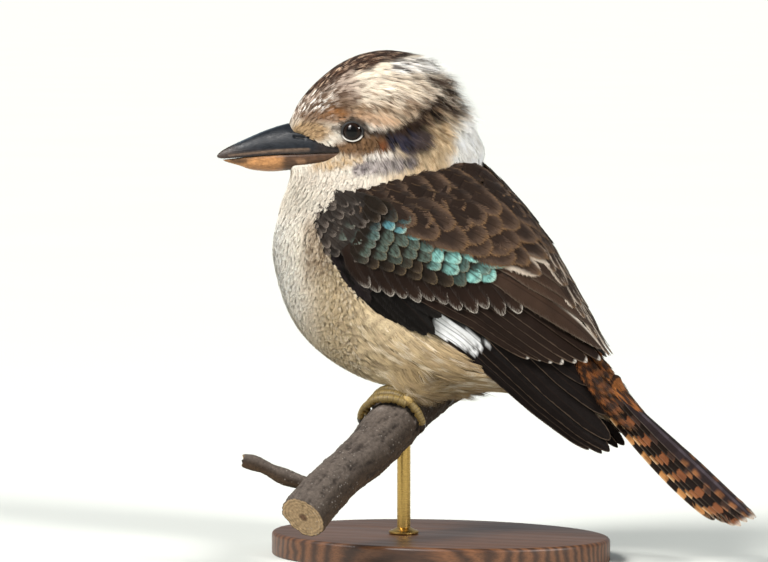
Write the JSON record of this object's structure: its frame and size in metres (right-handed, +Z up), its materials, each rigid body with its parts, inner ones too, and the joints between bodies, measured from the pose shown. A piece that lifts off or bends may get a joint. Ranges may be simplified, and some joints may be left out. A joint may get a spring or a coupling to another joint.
{
  "type": "laughing kookaburra on a perch",
  "caption": "Still life-size kookaburra model gripping a cut length of branch, held by a rod on a flat oval base.",
  "frame": {"origin": "centre of the underside of the stand's base", "axes": "+Z up, the bird faces -X with its left side at -Y and its tail towards +X"},
  "size_m": [0.3321, 0.1889, 0.3027],
  "materials": {
    "plumage_head": "matt cream plumage streaked with brown",
    "plumage_neck": "matt cream plumage",
    "plumage_body": "matt off-white plumage with fine brown bars",
    "wing_feathers": "dark brown feathers with a soft sheen",
    "tail_feathers": "rufous feathers barred with black",
    "bill_black": "satin black horn",
    "bill_buff": "satin buff horn",
    "eye": "glossy near-black",
    "foot_skin": "scaled ochre skin",
    "claw": "satin black horn",
    "bark": "rough grey-brown bark",
    "base_wood": "satin dark stain",
    "rod_brass": "brushed"
  },
  "bodies": {
    "root": {"head": "plumage_head", "neck": "plumage_neck", "torso": "plumage_body", "wing_left": "wing_feathers", "wing_right": "wing_feathers", "tail": "tail_feathers", "bill_upper": "bill_black", "bill_lower": "bill_buff", "eye_left": "eye", "eye_right": "eye", "leg_left": "foot_skin", "leg_right": "foot_skin", "perch": "bark", "stand_base": "base_wood", "stand_rod": "rod_brass", "claw_left_1": "claw", "claw_left_2": "claw", "claw_left_3": "claw", "claw_left_4": "claw", "claw_right_1": "claw", "claw_right_2": "claw", "claw_right_3": "claw", "claw_right_4": "claw"}
  },
  "joints": []
}
